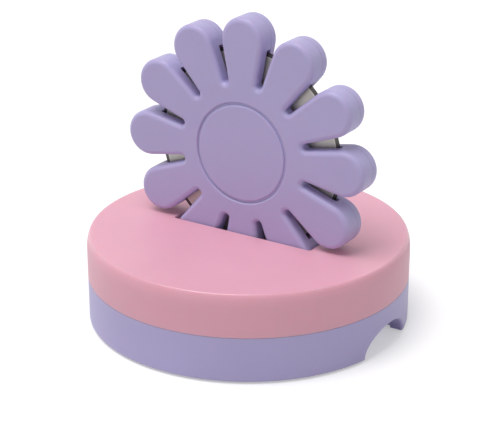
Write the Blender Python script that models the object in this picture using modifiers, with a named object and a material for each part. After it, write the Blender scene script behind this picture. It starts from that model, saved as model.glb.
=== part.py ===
"""Desktop yarn cutter: a twelve-petal cutter head that stands in a round two-part stand.

A circular steel blade sits between the two petal shells of the head, and yarn that is laid in a gap
between two petals meets its edge. The head lifts straight up out of a slot in the stand.
Metres, +Z up. The origin is at the centre of the stand, on the surface that it stands on, and the
front of the head faces -Y.
"""

import math

import bmesh
import bpy
from mathutils import Matrix, Vector

MM = 0.001

# Driving dimensions of the stand
STAND_RADIUS = 35.0 * MM
STAND_HEIGHT = 19.6 * MM
SEAM_HEIGHT = 10.2 * MM
SHOULDER_WIDTH = 0.9 * MM
SHOULDER_HEIGHT = 3.2 * MM
SEAM_CHAMFER = 0.15 * MM
COVER_WALL = 2.2 * MM
RIM_HEIGHT = 0.4 * MM
RIM_WIDTH = 3.0 * MM
RIM_CHAMFER = 0.3 * MM
FLOOR_RECESS = 1.2 * MM
FLOOR_THICKNESS = 1.6 * MM
LIP_HEIGHT = 2.0 * MM
LIP_THICKNESS = 1.2 * MM

# Finger recess in the rim of the tray, on the +X side, and its twin on the -X side
RECESS_HALF_WIDTH = 8.2 * MM
RECESS_HEIGHT = 5.2 * MM
RECESS_DEPTH = 6.5 * MM
RECESS_WALL = 1.8 * MM

# Driving dimensions of the cutter head
PETALS = 12
GUARD_REACH = 6.9 * MM
YARN_BITE = 7.2 * MM
GAP_WIDTH = 2.7 * MM
GAP_ROOT_WIDTH = 1.4 * MM
HEAD_SINK = 11.3 * MM
FRONT_SHELL_THICKNESS = 4.2 * MM
REAR_SHELL_THICKNESS = 2.1 * MM
FRONT_EDGE_ROUND = 1.1 * MM
REAR_EDGE_ROUND = 0.6 * MM
PARTING_EDGE_ROUND = 0.2 * MM

# Blade and what carries it
BLADE_RADIUS = 22.5 * MM
BLADE_BORE_RADIUS = 4.0 * MM
BLADE_THICKNESS = 0.3 * MM
BLADE_EDGE_THICKNESS = 0.05 * MM
BLADE_BEVEL_WIDTH = 0.9 * MM
BLADE_DEPTH = 3.3 * MM
BLADE_POCKET_CLEARANCE = 0.5 * MM
WASHER_RADIUS = 8.0 * MM
WASHER_THICKNESS = 0.3 * MM
BUSH_WALL = 2.5 * MM
CAP_RADIUS = 10.6 * MM
CAP_THICKNESS = 1.0 * MM
CAP_EDGE_ROUND = 0.3 * MM
CAP_FLANGE = 0.6 * MM
CAP_GROOVE = 0.5 * MM

# Cradle, grip strips, ballast and feet of the stand
CRADLE_WALL = 1.8 * MM
STRIP_THICKNESS = 0.8 * MM
STRIP_HEIGHT = 3.6 * MM
STRIP_INSET = 0.5 * MM
STRIP_END_GAP = 2.0 * MM
BALLAST_THICKNESS = 2.6 * MM
FOOT_COUNT = 4
FOOT_RADIUS = 4.5 * MM
FOOT_EDGE_ROUND = 0.3 * MM

# Screws: shank radius, head radius, head height
STAND_SCREW = (1.1 * MM, 2.1 * MM, 0.9 * MM)
SHELL_SCREW = (0.8 * MM, 1.5 * MM, 0.8 * MM)
BLADE_SCREW = (1.2 * MM, 2.4 * MM, 0.5 * MM)
STAND_SCREW_BITE = 4.0 * MM
SHELL_SCREW_BITE = 2.4 * MM
SHELL_SCREW_SINK = 1.0 * MM
BLADE_SCREW_BITE = 1.4 * MM
COVER_SCREW_COUNT = 4
COVER_BOSS_RADIUS = 2.8 * MM
TRAY_POST_RADIUS = 3.4 * MM
CRADLE_SCREW_REACH = 9.0 * MM
SHELL_SCREW_PETALS = (0, 4, 8)

# Clearances
SEAT = 0.1 * MM
RUNNING = 0.06 * MM
HEAD_SLIDE = 0.2 * MM
HEAD_SEAT = 0.2 * MM
PILOT = 0.06 * MM
SCREW_CLEARANCE = 0.15 * MM
BLIND = 0.5 * MM
BEYOND = 2.0 * MM
OVERLAP = 0.5 * MM

# Facets
TURN_STEPS = 72
MIDDLE_TURN_STEPS = 36
SMALL_TURN_STEPS = 16
TIP_ARC_STEPS = 8
ROOT_ARC_STEPS = 4
SHOULDER_STEPS = 5
SMALL_ROUND_STEPS = 2
RECESS_ARC_STEPS = 24
SMOOTH_ANGLE = math.radians(35)
FLAT_ANGLE = math.radians(0.1)

# Levels and reaches of the head, which is modelled lying down with its front upwards
PETAL_STEP = 2 * math.pi / PETALS
HALF_STEP = PETAL_STEP / 2
HEAD_RADIUS = BLADE_RADIUS + GUARD_REACH
TIP_RADIUS = (HEAD_RADIUS * math.sin(HALF_STEP) - GAP_WIDTH / 2) / (1 + math.sin(HALF_STEP))
TIP_REACH = HEAD_RADIUS - TIP_RADIUS
ROOT_RADIUS = GAP_ROOT_WIDTH / 2
ROOT_REACH = BLADE_RADIUS - YARN_BITE + ROOT_RADIUS
HEAD_THICKNESS = FRONT_SHELL_THICKNESS + REAR_SHELL_THICKNESS
FRONT_FACE = HEAD_THICKNESS / 2
REAR_FACE = -HEAD_THICKNESS / 2
PARTING = FRONT_FACE - FRONT_SHELL_THICKNESS
BLADE_FRONT = FRONT_FACE - BLADE_DEPTH
BLADE_REAR = BLADE_FRONT - BLADE_THICKNESS
STACK_FRONT = BLADE_FRONT + RUNNING + WASHER_THICKNESS
STACK_REAR = BLADE_REAR - RUNNING - WASHER_THICKNESS
POCKET_CEILING = STACK_FRONT + SEAT
POCKET_RADIUS = BLADE_RADIUS + BLADE_POCKET_CLEARANCE
HUB_TOP = STACK_REAR - SEAT
CAP_SEAT = FRONT_FACE - CAP_THICKNESS - SEAT
SHELL_SCREW_REACH = (POCKET_RADIUS + HEAD_RADIUS) / 2

# Levels and reaches of the stand
HEAD_BOTTOM = STAND_HEIGHT - HEAD_SINK
HEAD_CENTRE = HEAD_BOTTOM + HEAD_RADIUS
FLOOR_BOTTOM = RIM_HEIGHT + FLOOR_RECESS
FLOOR_TOP = FLOOR_BOTTOM + FLOOR_THICKNESS
BALLAST_BOTTOM = FLOOR_TOP + SEAT
CRADLE_BOTTOM = BALLAST_BOTTOM + BALLAST_THICKNESS + SEAT
COVER_CEILING = STAND_HEIGHT - COVER_WALL
CRADLE_TOP = COVER_CEILING - 2 * SEAT
LIP_RADIUS = STAND_RADIUS - COVER_WALL - 2 * SEAT
TRAY_INNER_RADIUS = LIP_RADIUS - LIP_THICKNESS
COVER_SCREW_CIRCLE = TRAY_INNER_RADIUS - COVER_BOSS_RADIUS - 4 * SEAT
BALLAST_RADIUS = COVER_SCREW_CIRCLE - TRAY_POST_RADIUS - 4 * SEAT
RECESS_END = STAND_RADIUS - RECESS_DEPTH
FOOT_CIRCLE = RECESS_END - RECESS_WALL - FOOT_RADIUS - 2 * SEAT
SIDE_PETAL_X = TIP_REACH * math.sin(PETAL_STEP)
SIDE_PETAL_BOTTOM = HEAD_CENTRE - TIP_REACH * math.cos(PETAL_STEP) - TIP_RADIUS
SLOT_HALF_LENGTH = SIDE_PETAL_X + TIP_RADIUS + HEAD_SLIDE
SLOT_HALF_WIDTH = HEAD_THICKNESS / 2 + HEAD_SLIDE
CHANNEL_HALF_WIDTH = SLOT_HALF_WIDTH + STRIP_THICKNESS + SEAT

# Finishes: name, colour, roughness, metallic
PINK_PLASTIC = ("pink_plastic", (0.78, 0.42, 0.52, 1.0), 0.38, 0.0)
LAVENDER_PLASTIC = ("lavender_plastic", (0.38, 0.34, 0.58, 1.0), 0.38, 0.0)
BLADE_STEEL = ("blade_steel", (0.62, 0.61, 0.58, 1.0), 0.22, 1.0)
PLATED_STEEL = ("plated_steel", (0.55, 0.55, 0.56, 1.0), 0.35, 1.0)
BUSH_BRASS = ("bush_brass", (0.72, 0.55, 0.26, 1.0), 0.3, 1.0)
GREY_SILICONE = ("grey_silicone", (0.28, 0.27, 0.30, 1.0), 0.75, 0.0)


def new_collections():
    """Empties the scene, then makes the collection of the pieces and that of the cutters."""
    for obj in list(bpy.data.objects):
        bpy.data.objects.remove(obj)
    made = [bpy.data.collections.new(name) for name in ("yarn_cutter", "cutters")]
    for collection in made:
        bpy.context.scene.collection.children.link(collection)
    return made


PIECES, CUTTERS = new_collections()


def finish_material(finish):
    """The material of that finish, made the first time it is asked for."""
    name, colour, roughness, metallic = finish
    material = bpy.data.materials.get(name)
    if material is None:
        material = bpy.data.materials.new(name)
        material.use_nodes = True
        shader = material.node_tree.nodes["Principled BSDF"]
        shader.inputs["Base Color"].default_value = colour
        shader.inputs["Roughness"].default_value = roughness
        shader.inputs["Metallic"].default_value = metallic
    return material


def place(obj, collection, parent, location, rotation):
    collection.objects.link(obj)
    obj.parent = parent
    obj.location = location
    obj.rotation_euler = rotation
    return obj


def piece(name, mesh, finish, parent=None, location=(0, 0, 0), rotation=(0, 0, 0)):
    """A named piece of the object."""
    mesh.materials.append(finish_material(finish))
    return place(bpy.data.objects.new(name, mesh), PIECES, parent, location, rotation)


def cutter(mesh, parent=None, location=(0, 0, 0), rotation=(0, 0, 0)):
    """A helper solid for a Boolean, which isn't a piece of the object."""
    obj = place(bpy.data.objects.new(mesh.name, mesh), CUTTERS, parent, location, rotation)
    obj.hide_render = True
    obj.display_type = "WIRE"
    return obj


def combine(obj, other, operation):
    modifier = obj.modifiers.new(f"{operation.lower()}_{other.name}", "BOOLEAN")
    modifier.operation = operation
    modifier.object = other


def smooth(mesh):
    mesh.shade_smooth()
    mesh.set_sharp_from_angle(angle=SMOOTH_ANGLE)


def mesh_of(guide):
    """The finished mesh of a helper object, welded, each flat side one face, smooth. The helper goes."""
    CUTTERS.objects.link(guide)
    bpy.context.view_layer.update()
    graph = bpy.context.evaluated_depsgraph_get()
    mesh = bpy.data.meshes.new_from_object(guide.evaluated_get(graph))
    mesh.name = guide.name
    bpy.data.objects.remove(guide)
    work = bmesh.new()
    work.from_mesh(mesh)
    bmesh.ops.remove_doubles(work, verts=work.verts, dist=1e-7)
    bmesh.ops.dissolve_limit(work, angle_limit=FLAT_ANGLE, verts=work.verts, edges=work.edges)
    bmesh.ops.recalc_face_normals(work, faces=work.faces)
    work.to_mesh(mesh)
    work.free()
    smooth(mesh)
    return mesh


def turned(name, profile, steps=TURN_STEPS):
    """A profile of (radius, height) points, turned about Z. One that starts and ends on the axis runs
    from its top to its bottom along the outside. Any other is a ring's, and closes on itself."""
    count = len(profile)
    edges = [(i, i + 1) for i in range(count - 1)]
    if profile[0][0] > 0:
        edges.append((count - 1, 0))
    mesh = bpy.data.meshes.new(name)
    mesh.from_pydata([(radius, 0, height) for radius, height in profile], edges, [])
    guide = bpy.data.objects.new(name, mesh)
    screw = guide.modifiers.new("turn", "SCREW")
    screw.steps = screw.render_steps = steps
    screw.use_merge_vertices = True
    screw.merge_threshold = 1e-6
    return mesh_of(guide)


def ring(name, inner, outer, low, high, steps):
    return turned(name, [(inner, high), (outer, high), (outer, low), (inner, low)], steps)


def disc(name, radius, low, high, steps=SMALL_TURN_STEPS):
    return turned(name, [(0, high), (radius, high), (radius, low), (0, low)], steps)


def plate(name, points, low, high):
    """A flat outline in XY as a plate between two levels."""
    curve = bpy.data.curves.new(name, "CURVE")
    curve.dimensions = "2D"
    curve.fill_mode = "BOTH"
    curve.extrude = (high - low) / 2
    spline = curve.splines.new("POLY")
    spline.points.add(len(points) - 1)
    for point, (x, y) in zip(spline.points, points):
        point.co = (x, y, 0, 1)
    spline.use_cyclic_u = True
    mesh = mesh_of(bpy.data.objects.new(name, curve))
    mesh.transform(Matrix.Translation((0, 0, (low + high) / 2)))
    return mesh


def box(name, low, high):
    """A box between two corners."""
    low, high = Vector(low), Vector(high)
    mesh = bpy.data.meshes.new(name)
    work = bmesh.new()
    bmesh.ops.create_cube(work, size=1)
    bmesh.ops.scale(work, vec=high - low, verts=work.verts)
    bmesh.ops.translate(work, vec=(low + high) / 2, verts=work.verts)
    work.to_mesh(mesh)
    work.free()
    return mesh


def arc(centre, radius, start, end, steps):
    """Points along an arc from one angle to another, both ends included."""
    angles = [start + (end - start) * i / steps for i in range(steps + 1)]
    return [(centre[0] + radius * math.cos(a), centre[1] + radius * math.sin(a)) for a in angles]


def around(count, radius, first_angle):
    """(x, y) of places spread evenly on a circle."""
    angles = [first_angle + 2 * math.pi * i / count for i in range(count)]
    return [(radius * math.cos(a), radius * math.sin(a)) for a in angles]


def screw_body(name, size, length):
    """A pan-head screw that points up, its head just below Z = 0 and its shank above."""
    shank, head, height = size
    profile = [(0, length), (shank * 0.6, length), (shank, length - shank), (shank, 0), (head, 0)]
    profile += [(head, -height * 0.5), (head * 0.75, -height), (0, -height)]
    return turned(name, profile, SMALL_TURN_STEPS)


def flower():
    """The outline of the head: round petal tips, straight flanks and round gap roots.

    A flank is the inner common tangent of a tip circle and of the next root circle. The first petal
    points along +Y, and the outline runs anticlockwise."""
    tip = Vector((0, TIP_REACH))
    root = Vector((-ROOT_REACH * math.sin(HALF_STEP), ROOT_REACH * math.cos(HALF_STEP)))
    span = root - tip
    lean = math.acos((TIP_RADIUS + ROOT_RADIUS) / span.length)
    tip_end = math.atan2(span.y, span.x) % (2 * math.pi) - lean
    root_start = tip_end - math.pi
    root_end = 2 * HALF_STEP - math.pi - root_start
    points = []
    for petal in range(PETALS):
        turn = petal * PETAL_STEP
        gap = turn + HALF_STEP
        tip = (-TIP_REACH * math.sin(turn), TIP_REACH * math.cos(turn))
        root = (-ROOT_REACH * math.sin(gap), ROOT_REACH * math.cos(gap))
        points += arc(tip, TIP_RADIUS, math.pi - tip_end + turn, tip_end + turn, TIP_ARC_STEPS)
        points += arc(root, ROOT_RADIUS, root_start + turn, root_end + turn, ROOT_ARC_STEPS)
    return points


def petal_shell(name, low, high, rounds, segments, parent):
    """One half of the head. rounds pairs each level of the plate with the rounding of its edges."""
    mesh = plate(name, flower(), low, high)
    widest = max(size for _, size in rounds)
    weights = mesh.attributes.new("bevel_weight_edge", "FLOAT", "EDGE")
    for edge in mesh.edges:
        for level, size in rounds:
            if all(abs(mesh.vertices[i].co.z - level) < 1e-6 for i in edge.vertices):
                weights.data[edge.index].value = size / widest
    shell = piece(name, mesh, LAVENDER_PLASTIC, parent)
    bevel = shell.modifiers.new("rounded_edges", "BEVEL")
    bevel.limit_method = "WEIGHT"
    bevel.width = widest
    bevel.segments = segments
    return shell


def shell_screw_places():
    turns = [petal * PETAL_STEP for petal in SHELL_SCREW_PETALS]
    return [(-SHELL_SCREW_REACH * math.sin(turn), SHELL_SCREW_REACH * math.cos(turn)) for turn in turns]


def make_front_shell(head):
    """The front half: recess for the cap, pocket for the blade, which opens into the gaps as slits."""
    rounds = [(FRONT_FACE, FRONT_EDGE_ROUND), (PARTING, PARTING_EDGE_ROUND)]
    shell = petal_shell("front_shell", PARTING, FRONT_FACE, rounds, 2, head)
    pocket = disc("blade_pocket", POCKET_RADIUS, PARTING - BEYOND, POCKET_CEILING, TURN_STEPS)
    combine(shell, cutter(pocket, head), "DIFFERENCE")
    recess = disc("cap_recess", CAP_RADIUS + CAP_GROOVE, CAP_SEAT, FRONT_FACE + BEYOND, MIDDLE_TURN_STEPS)
    combine(shell, cutter(recess, head), "DIFFERENCE")
    passage = disc("blade_screw_hole", BLADE_SCREW[0] + SCREW_CLEARANCE, PARTING, FRONT_FACE)
    combine(shell, cutter(passage, head), "DIFFERENCE")
    for x, y in shell_screw_places():
        depth = PARTING + SHELL_SCREW_BITE + BLIND
        pilot = disc("shell_screw_pilot", SHELL_SCREW[0] + PILOT, PARTING - BEYOND, depth)
        combine(shell, cutter(pilot, head, (x, y, 0)), "DIFFERENCE")


def make_rear_shell(head):
    """The rear half: a raised hub behind the blade, and sunk holes for the shell screws."""
    top = PARTING - SEAT
    rounds = [(REAR_FACE, REAR_EDGE_ROUND), (top, PARTING_EDGE_ROUND)]
    shell = petal_shell("rear_shell", REAR_FACE, top, rounds, 2, head)
    hub = disc("blade_hub", WASHER_RADIUS, REAR_FACE + OVERLAP, HUB_TOP, MIDDLE_TURN_STEPS)
    combine(shell, cutter(hub, head), "UNION")
    bottom = HUB_TOP - BLADE_SCREW_BITE - BLIND
    pilot = disc("blade_screw_pilot", BLADE_SCREW[0] + PILOT, bottom, HUB_TOP + BEYOND)
    combine(shell, cutter(pilot, head), "DIFFERENCE")
    for x, y in shell_screw_places():
        hole = disc("shell_screw_hole", SHELL_SCREW[0] + SCREW_CLEARANCE, REAR_FACE - BEYOND, top + BEYOND)
        combine(shell, cutter(hole, head, (x, y, 0)), "DIFFERENCE")
        sink_radius = SHELL_SCREW[1] + SCREW_CLEARANCE
        sink = disc("shell_screw_sink", sink_radius, REAR_FACE - BEYOND, REAR_FACE + SHELL_SCREW_SINK)
        combine(shell, cutter(sink, head, (x, y, 0)), "DIFFERENCE")


def make_blade_stack(head):
    """The blade and the bush, washers and screw that it turns on."""
    middle = (BLADE_FRONT + BLADE_REAR) / 2
    ground = BLADE_RADIUS - BLADE_BEVEL_WIDTH
    profile = [(BLADE_BORE_RADIUS, BLADE_FRONT), (ground, BLADE_FRONT)]
    profile += [(BLADE_RADIUS, middle + BLADE_EDGE_THICKNESS / 2)]
    profile += [(BLADE_RADIUS, middle - BLADE_EDGE_THICKNESS / 2)]
    profile += [(ground, BLADE_REAR), (BLADE_BORE_RADIUS, BLADE_REAR)]
    piece("cutter_blade", turned("cutter_blade", profile), BLADE_STEEL, head)
    bush_radius = BLADE_BORE_RADIUS - RUNNING
    bush = ring("blade_bush", bush_radius - BUSH_WALL, bush_radius, STACK_REAR, STACK_FRONT, MIDDLE_TURN_STEPS)
    piece("blade_bush", bush, BUSH_BRASS, head)
    levels = {
        "front_washer": (BLADE_FRONT + RUNNING, STACK_FRONT),
        "rear_washer": (STACK_REAR, BLADE_REAR - RUNNING),
    }
    for name, (low, high) in levels.items():
        washer = ring(name, BLADE_BORE_RADIUS + SEAT, WASHER_RADIUS, low, high, MIDDLE_TURN_STEPS)
        piece(name, washer, PLATED_STEEL, head)
    head_seat = CAP_SEAT + SEAT
    mesh = screw_body("blade_screw", BLADE_SCREW, head_seat - HUB_TOP + BLADE_SCREW_BITE)
    piece("blade_screw", mesh, PLATED_STEEL, head, (0, 0, head_seat), (math.pi, 0, 0))


def make_cap(head):
    """The plain disc in the middle of the front, hollow below to clear the blade screw."""
    bottom = CAP_SEAT + SEAT
    corner = (CAP_RADIUS - CAP_EDGE_ROUND, FRONT_FACE - CAP_EDGE_ROUND)
    flange = CAP_RADIUS + CAP_GROOVE - SEAT
    hollow = BLADE_SCREW[1] + 2 * SEAT
    ceiling = bottom + BLADE_SCREW[2] + SEAT
    profile = [(0, FRONT_FACE)]
    profile += arc(corner, CAP_EDGE_ROUND, math.pi / 2, 0, SMALL_ROUND_STEPS)
    profile += [(CAP_RADIUS, bottom + CAP_FLANGE), (flange, bottom + CAP_FLANGE), (flange, bottom)]
    profile += [(hollow, bottom), (hollow, ceiling), (0, ceiling)]
    piece("centre_cap", turned("centre_cap", profile, MIDDLE_TURN_STEPS), LAVENDER_PLASTIC, head)


def make_shell_screws(head):
    level = REAR_FACE + SHELL_SCREW_SINK - SEAT
    length = PARTING + SHELL_SCREW_BITE - level
    for number, (x, y) in enumerate(shell_screw_places(), 1):
        name = f"shell_screw_{number}"
        piece(name, screw_body(name, SHELL_SCREW, length), PLATED_STEEL, head, (x, y, level))


def make_head():
    """The cutter head, built lying down and then stood up, its front towards -Y."""
    head = bpy.data.objects.new("head_frame", None)
    place(head, PIECES, None, (0, 0, HEAD_CENTRE), (math.pi / 2, 0, 0))
    make_front_shell(head)
    make_rear_shell(head)
    make_blade_stack(head)
    make_cap(head)
    make_shell_screws(head)


def cover_screw_places():
    return around(COVER_SCREW_COUNT, COVER_SCREW_CIRCLE, math.pi / COVER_SCREW_COUNT)


def make_cover():
    """The upper shell: rounded shoulder, slot for the head, and bosses for the cover screws."""
    inner = STAND_RADIUS - COVER_WALL
    foot = SEAM_HEIGHT + SEAT
    inner_round = COVER_WALL / 2
    inner_shoulder = (inner - inner_round, COVER_CEILING - inner_round)
    profile = [(0, STAND_HEIGHT)]
    for across, up in arc((0, 0), 1, math.pi / 2, 0, SHOULDER_STEPS):
        radius = STAND_RADIUS - SHOULDER_WIDTH * (1 - across)
        profile.append((radius, STAND_HEIGHT - SHOULDER_HEIGHT * (1 - up)))
    profile += [(STAND_RADIUS, foot + SEAM_CHAMFER), (STAND_RADIUS - SEAM_CHAMFER, foot), (inner, foot)]
    profile += arc(inner_shoulder, inner_round, 0, math.pi / 2, SMALL_ROUND_STEPS)
    profile += [(0, COVER_CEILING)]
    cover = piece("top_cover", turned("top_cover", profile), PINK_PLASTIC)
    low = (-SLOT_HALF_LENGTH, -SLOT_HALF_WIDTH, COVER_CEILING - BEYOND)
    high = (SLOT_HALF_LENGTH, SLOT_HALF_WIDTH, STAND_HEIGHT + BEYOND)
    combine(cover, cutter(box("head_slot", low, high)), "DIFFERENCE")
    boss_foot = CRADLE_BOTTOM + SEAT
    for x, y in cover_screw_places():
        boss = disc("cover_boss", COVER_BOSS_RADIUS, boss_foot, COVER_CEILING + OVERLAP)
        combine(cover, cutter(boss, None, (x, y, 0)), "UNION")
        depth = CRADLE_BOTTOM + STAND_SCREW_BITE + BLIND
        pilot = disc("cover_screw_pilot", STAND_SCREW[0] + PILOT, boss_foot - BEYOND, depth)
        combine(cover, cutter(pilot, None, (x, y, 0)), "DIFFERENCE")


def recess_outline():
    """The finger recess as an ellipse: X is across it and Y is up from the rim."""
    return [(x * RECESS_HALF_WIDTH, y * RECESS_HEIGHT) for x, y in around(2 * RECESS_ARC_STEPS, 1, 0)]


def make_tray():
    """The lower shell: locating lip, floor, posts for the cover screws and two finger recesses."""
    rim_inner = STAND_RADIUS - RIM_WIDTH
    profile = [(0, FLOOR_TOP), (TRAY_INNER_RADIUS, FLOOR_TOP)]
    profile += [(TRAY_INNER_RADIUS, SEAM_HEIGHT + LIP_HEIGHT), (LIP_RADIUS, SEAM_HEIGHT + LIP_HEIGHT)]
    profile += [(LIP_RADIUS, SEAM_HEIGHT), (STAND_RADIUS - SEAM_CHAMFER, SEAM_HEIGHT)]
    profile += [(STAND_RADIUS, SEAM_HEIGHT - SEAM_CHAMFER), (STAND_RADIUS, RIM_HEIGHT + RIM_CHAMFER)]
    profile += [(STAND_RADIUS - RIM_CHAMFER, RIM_HEIGHT), (rim_inner, RIM_HEIGHT)]
    profile += [(rim_inner, FLOOR_BOTTOM), (0, FLOOR_BOTTOM)]
    tray = piece("base_tray", turned("base_tray", profile), LAVENDER_PLASTIC)
    half = RECESS_HALF_WIDTH + RECESS_WALL
    top = RIM_HEIGHT + RECESS_HEIGHT + RECESS_WALL
    for side in (1, -1):
        ends = sorted((side * (RECESS_END - RECESS_WALL), side * (TRAY_INNER_RADIUS + OVERLAP)))
        lining = box("recess_lining", (ends[0], -half, RIM_HEIGHT + OVERLAP), (ends[1], half, top))
        combine(tray, cutter(lining), "UNION")
        recess = plate("finger_recess", recess_outline(), 0, RECESS_DEPTH + BEYOND)
        place_x = RECESS_END if side > 0 else -STAND_RADIUS - BEYOND
        turn = (math.pi / 2, 0, math.pi / 2)
        combine(tray, cutter(recess, None, (place_x, 0, RIM_HEIGHT), turn), "DIFFERENCE")
    for x, y in cover_screw_places():
        post = disc("cover_post", TRAY_POST_RADIUS, FLOOR_TOP - OVERLAP, CRADLE_BOTTOM)
        combine(tray, cutter(post, None, (x, y, 0)), "UNION")
    for x, y in cover_screw_places() + cradle_screw_places():
        hole = disc("stand_screw_hole", STAND_SCREW[0] + SCREW_CLEARANCE, 0, CRADLE_BOTTOM + BEYOND)
        combine(tray, cutter(hole, None, (x, y, 0)), "DIFFERENCE")


def cradle_screw_places():
    return [(-CRADLE_SCREW_REACH, 0), (CRADLE_SCREW_REACH, 0)]


def make_ballast():
    """The steel disc that keeps the stand from tipping."""
    mesh = disc("ballast_plate", BALLAST_RADIUS, BALLAST_BOTTOM, BALLAST_BOTTOM + BALLAST_THICKNESS, TURN_STEPS)
    ballast = piece("ballast_plate", mesh, PLATED_STEEL)
    for x, y in cradle_screw_places():
        hole = disc("ballast_hole", STAND_SCREW[0] + SCREW_CLEARANCE, 0, CRADLE_BOTTOM + BEYOND)
        combine(ballast, cutter(hole, None, (x, y, 0)), "DIFFERENCE")


def make_cradle():
    """The socket below the slot: a channel for the three lower petals, deeper in the middle."""
    reach = (SLOT_HALF_LENGTH + CRADLE_WALL, CHANNEL_HALF_WIDTH + CRADLE_WALL)
    low = (-reach[0], -reach[1], CRADLE_BOTTOM)
    cradle = piece("head_cradle", box("head_cradle", low, (*reach, CRADLE_TOP)), LAVENDER_PLASTIC)
    spaces = {
        "side_petal_space": (SLOT_HALF_LENGTH, SIDE_PETAL_BOTTOM - HEAD_SEAT),
        "low_petal_space": (TIP_RADIUS + HEAD_SEAT, HEAD_BOTTOM - HEAD_SEAT),
    }
    for name, (half, bottom) in spaces.items():
        high = (half, CHANNEL_HALF_WIDTH, CRADLE_TOP + BEYOND)
        space = box(name, (-half, -CHANNEL_HALF_WIDTH, bottom), high)
        combine(cradle, cutter(space), "DIFFERENCE")
    for x, y in cradle_screw_places():
        depth = CRADLE_BOTTOM + STAND_SCREW_BITE + BLIND
        pilot = disc("cradle_screw_pilot", STAND_SCREW[0] + PILOT, CRADLE_BOTTOM - BEYOND, depth)
        combine(cradle, cutter(pilot, None, (x, y, 0)), "DIFFERENCE")


def make_strips():
    """The soft strips that line the two long walls of the cradle and steady the head."""
    half = SLOT_HALF_LENGTH - STRIP_END_GAP
    high = CRADLE_TOP - STRIP_INSET
    for name, side in (("front_strip", -1), ("rear_strip", 1)):
        ends = sorted((side * SLOT_HALF_WIDTH, side * (SLOT_HALF_WIDTH + STRIP_THICKNESS)))
        mesh = box(name, (-half, ends[0], high - STRIP_HEIGHT), (half, ends[1], high))
        piece(name, mesh, GREY_SILICONE)


def make_feet():
    top = FLOOR_BOTTOM - SEAT
    profile = [(0, top), (FOOT_RADIUS, top)]
    corner = (FOOT_RADIUS - FOOT_EDGE_ROUND, FOOT_EDGE_ROUND)
    profile += arc(corner, FOOT_EDGE_ROUND, 0, -math.pi / 2, SMALL_ROUND_STEPS)
    profile += [(0, 0)]
    for number, (x, y) in enumerate(around(FOOT_COUNT, FOOT_CIRCLE, 0), 1):
        name = f"foot_{number}"
        piece(name, turned(name, profile, SMALL_TURN_STEPS), GREY_SILICONE, None, (x, y, 0))


def make_stand_screws():
    """The screws from below: four into the cover and two into the cradle."""
    level = FLOOR_BOTTOM - SEAT
    length = CRADLE_BOTTOM + STAND_SCREW_BITE - level
    for kind, places in (("cover_screw", cover_screw_places()), ("cradle_screw", cradle_screw_places())):
        for number, (x, y) in enumerate(places, 1):
            name = f"{kind}_{number}"
            piece(name, screw_body(name, STAND_SCREW, length), PLATED_STEEL, None, (x, y, level))


def make_stand():
    make_cover()
    make_tray()
    make_ballast()
    make_cradle()
    make_strips()
    make_feet()
    make_stand_screws()


make_stand()
make_head()
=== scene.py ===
"""Looks of the desktop yarn cutter, laid out as an add-on and run as a script.

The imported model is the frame. The moulded shells, the blade, the cap, the feet and the screws that
show are modelled again with fine edges, and every other piece of the frame gets a finish of its own.
Metres, +Z up. The front of the head faces -Y.
"""

import math

import bmesh
import bpy
from bpy.props import FloatProperty, FloatVectorProperty, IntProperty, PointerProperty
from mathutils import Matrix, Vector


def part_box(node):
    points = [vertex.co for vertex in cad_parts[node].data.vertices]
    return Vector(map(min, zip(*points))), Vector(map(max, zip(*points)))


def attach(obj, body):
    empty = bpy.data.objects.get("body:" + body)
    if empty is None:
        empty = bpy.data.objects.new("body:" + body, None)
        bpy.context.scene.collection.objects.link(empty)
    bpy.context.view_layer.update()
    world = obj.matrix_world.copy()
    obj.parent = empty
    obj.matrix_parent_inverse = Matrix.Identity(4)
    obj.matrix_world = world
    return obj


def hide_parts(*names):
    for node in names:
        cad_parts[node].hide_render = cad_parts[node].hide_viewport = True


bl_info = {
    "name": "Desktop yarn cutter",
    "version": (1, 0, 0),
    "blender": (4, 5, 0),
    "location": "View3D > Sidebar > Yarn cutter",
    "description": "Models the looks of a flower-shaped yarn cutter on its round stand",
    "category": "Object",
}

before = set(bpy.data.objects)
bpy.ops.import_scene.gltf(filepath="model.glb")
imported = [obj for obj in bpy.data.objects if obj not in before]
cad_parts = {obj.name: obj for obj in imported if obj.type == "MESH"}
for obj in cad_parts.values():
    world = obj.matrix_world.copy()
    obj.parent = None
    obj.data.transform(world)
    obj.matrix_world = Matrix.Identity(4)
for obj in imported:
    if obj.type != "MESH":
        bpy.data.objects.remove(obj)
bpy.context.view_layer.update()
PHOTO_WIDTH = 488
MM = 0.001
OVERLAP = 0.5 * MM  # how far a blank or a hole goes past what it has to reach
ON_EDGE = 0.02 * MM  # how far a corner may lie from the radius by which it is picked
RUB_FADE = 0.4 * MM  # over which a rubbed edge goes over into the moulded grain
BEVEL_FADE = 0.2 * MM  # over which the blade's face goes over into its bevel
PAINTED_HIGHLIGHT_WIDTH = 0.3 * MM  # width of the painted highlight line at the inner side of the bevel
PAINTED_HIGHLIGHT_INSET = 0.25 * MM  # how far that line starts inside the bevel
COVER_SCREWS = tuple(f"cover_screw_{number}" for number in (1, 2, 3, 4))
CRADLE_SCREWS = ("cradle_screw_1", "cradle_screw_2")
SHELL_SCREWS = tuple(f"shell_screw_{number}" for number in (1, 2, 3))
FEET = tuple(f"foot_{number}" for number in (1, 2, 3, 4))
# The radii of a screw's shank and head, and the height of its head.
STAND_SCREW_SIZES = {"shank": 1.1 * MM, "head": 2.1 * MM, "height": 0.9 * MM}
SHELL_SCREW_SIZES = {"shank": 0.8 * MM, "head": 1.5 * MM, "height": 0.8 * MM}
SCREW_CROWN = 0.5  # rounding of a screw's crown, as a share of its head's height
SCREW_TIP = 0.6  # width of a screw's tip, as a share of its shank's
CROSS_LENGTH = 1.2  # of each slot of the cross recess, as a share of the screw head's radius
CROSS_WIDTH = 0.28  # as a share of the same radius


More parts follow.
